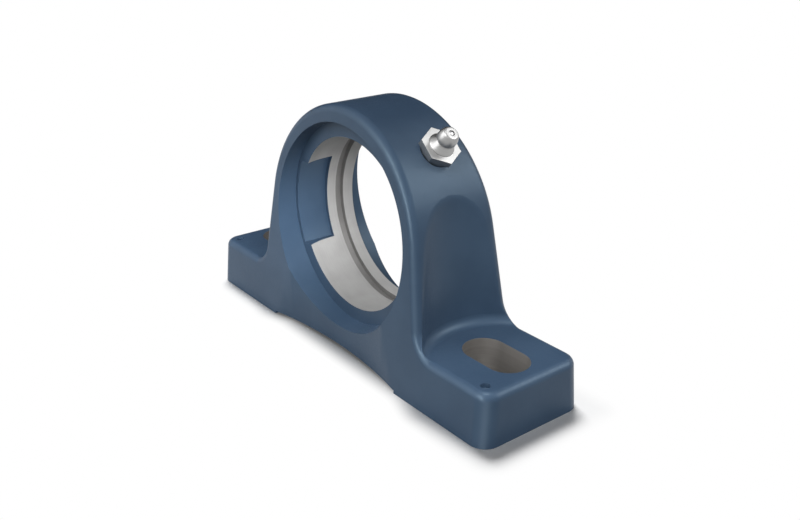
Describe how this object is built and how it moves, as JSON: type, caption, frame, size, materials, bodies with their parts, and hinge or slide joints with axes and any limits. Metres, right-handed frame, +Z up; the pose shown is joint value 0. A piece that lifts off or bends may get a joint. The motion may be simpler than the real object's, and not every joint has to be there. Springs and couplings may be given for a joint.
{
  "type": "plummer block housing",
  "caption": "Cast pedestal housing with slotted feet and a spherical seat for an insert bearing, loading slots in its front face and a grease nipple.",
  "frame": {"origin": "middle of the machined underside of the base", "axes": "+X along the base towards the grease nipple's side, +Y along the bore from the loading-slot face to the rear, +Z up"},
  "size_m": [0.152, 0.041, 0.0829],
  "materials": {
    "blue_paint": "satin blue-grey paint on cast iron, bare machined seat and bolt slots",
    "zinc_plate": "bright zinc plate",
    "ball_steel": "polished",
    "spring_steel": "drawn wire"
  },
  "bodies": {
    "housing": {"housing": "blue_paint", "grease_nipple": "zinc_plate", "ball_spring": "spring_steel"},
    "check_ball": {"check_ball": "ball_steel"}
  },
  "joints": [
    {"name": "check_ball_push", "type": "slide", "parent": "housing", "child": "check_ball", "axis": [-0.682, 0, -0.7314], "range_m": [0, 0.001], "stiffness_N_per_m": 300, "springref_m": -0.002, "deforming": ["ball_spring"]}
  ]
}
